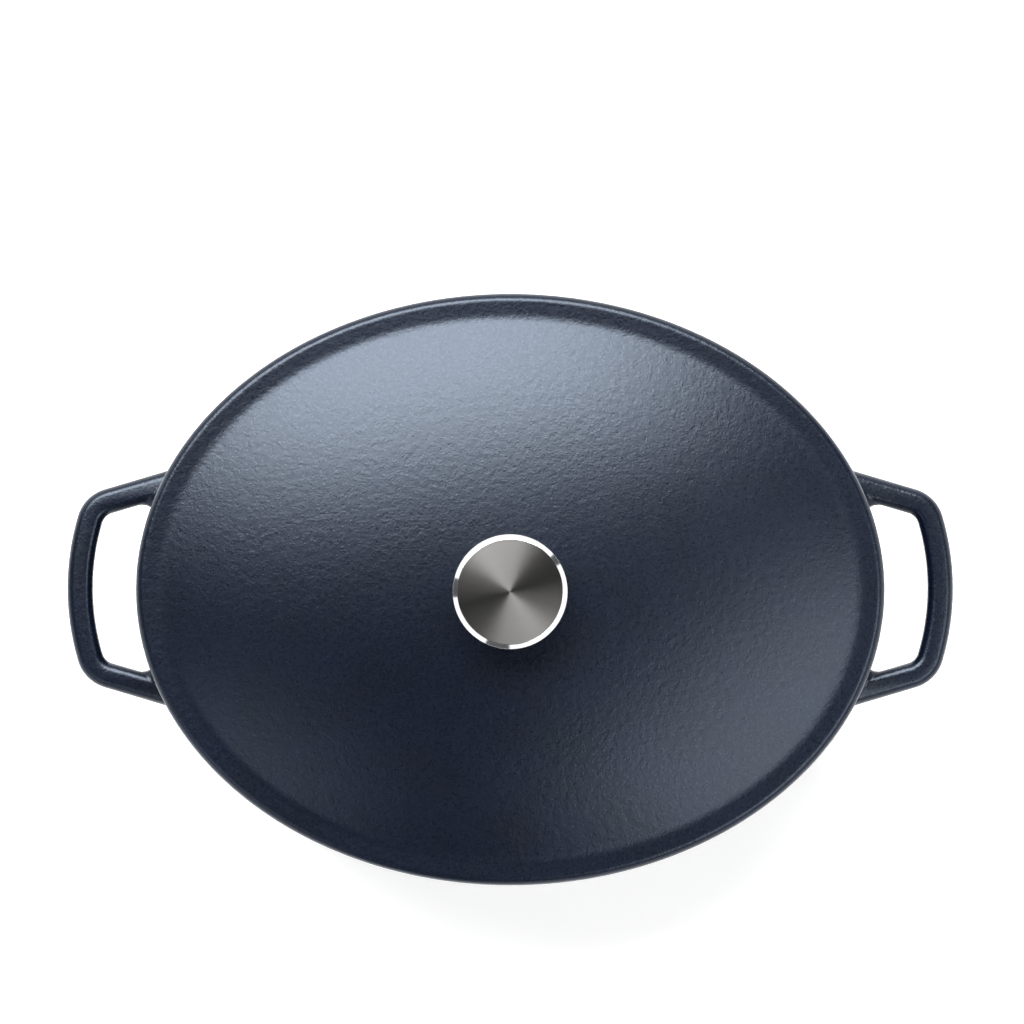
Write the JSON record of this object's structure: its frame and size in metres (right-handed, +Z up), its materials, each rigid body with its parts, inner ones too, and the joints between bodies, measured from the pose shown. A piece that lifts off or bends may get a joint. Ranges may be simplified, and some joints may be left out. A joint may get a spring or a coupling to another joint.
{
  "type": "dutch oven",
  "caption": "Oval enamelled cast iron cooking pot with loop handles cast at its ends and a low domed lift-off lid that carries a round steel knob.",
  "frame": {"origin": "on the plane that the pot stands on, under the axis of the lid's knob, at the middle of the oval", "axes": "+Z up through the knob; +X along the oval's long axis, towards one of the loop handles; +Y along its short axis"},
  "size_m": [0.3786, 0.249, 0.157],
  "materials": {
    "enamelled_iron": "matte navy enamel outside, gloss cream enamel inside",
    "brushed_steel": "spin-brushed face with a polished bevel",
    "polished_steel": "polished",
    "plain_steel": "plain stainless",
    "silicone": "matte"
  },
  "bodies": {
    "pot": {"pot_body": "enamelled_iron"},
    "lid": {"lid": "enamelled_iron", "knob_cap": "brushed_steel", "knob_stem": "polished_steel", "knob_insert": "plain_steel", "knob_gasket": "silicone", "knob_screw": "plain_steel", "seal_washer": "silicone", "flat_washer": "plain_steel", "lock_washer": "plain_steel"}
  },
  "joints": [
    {"name": "lid_lift", "type": "slide", "parent": "pot", "child": "lid", "axis": [0, 0, 1], "range_m": [0, 0.15]}
  ]
}
